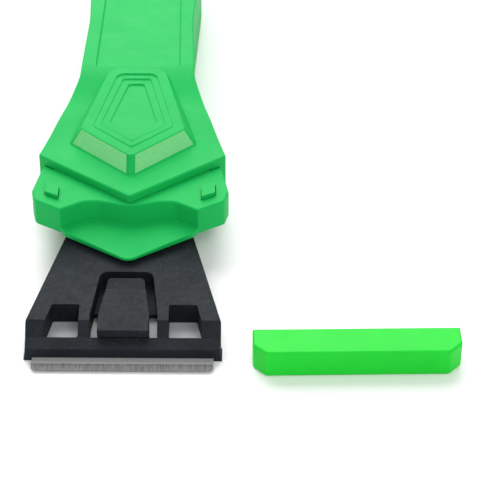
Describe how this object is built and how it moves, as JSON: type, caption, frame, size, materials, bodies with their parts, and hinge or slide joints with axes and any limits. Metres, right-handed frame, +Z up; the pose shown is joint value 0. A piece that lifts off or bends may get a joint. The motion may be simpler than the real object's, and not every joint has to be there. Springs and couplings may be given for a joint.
{
  "type": "algae scraper",
  "caption": "Hand-held algae scraper: two-shell handle with a stepped nose, black clip-type blade holder with release lever, steel blade, and push-on blade guard lying beside it.",
  "frame": {"origin": "on the handle's flat underside, on the centre plane, 60 mm behind the blade's cutting edge", "axes": "+X to the tool's right, +Y from the cutting edge towards the handle's tail, +Z up from the surface the tool lies on"},
  "size_m": [0.0929, 0.1609, 0.0199],
  "materials": {
    "green_plastic": "satin moulded ABS, fine grain",
    "guard_plastic": "smooth moulded polypropylene",
    "black_plastic": "fine-grained moulded nylon",
    "blade_steel": "rolled steel with a ground edge",
    "fastener_steel": "zinc-plated steel"
  },
  "bodies": {
    "handle": {"handle_upper_shell": "green_plastic", "handle_lower_shell": "green_plastic", "nose_collar": "green_plastic", "nose_cover": "green_plastic", "holder_frame": "black_plastic", "holder_base": "black_plastic", "base_rivet_1": "fastener_steel", "base_rivet_2": "fastener_steel", "base_rivet_3": "fastener_steel", "base_rivet_4": "fastener_steel", "shell_screw_1": "fastener_steel", "shell_screw_2": "fastener_steel", "shell_screw_3": "fastener_steel", "shell_screw_4": "fastener_steel", "tang_screw": "fastener_steel", "tang_nut": "fastener_steel"},
    "lever": {"release_lever": "black_plastic"},
    "blade": {"blade": "blade_steel"},
    "guard": {"blade_guard": "guard_plastic"}
  },
  "joints": [
    {"name": "lever_pivot", "type": "hinge", "parent": "handle", "child": "lever", "pos_m": [0, -0.0427, 0.004], "axis": [-1, 0, 0], "range_deg": [0, 8], "stiffness_Nm_per_rad": 0.3, "springref_deg": -2.86},
    {"name": "blade_slide", "type": "slide", "parent": "handle", "child": "blade", "axis": [0, -0.999, -0.0436], "range_m": [0, 0.0155]},
    {"name": "guard_slide", "type": "slide", "parent": "handle", "child": "guard", "axis": [0.0244, -0.9997, 0], "range_m": [0, 0.02]}
  ]
}
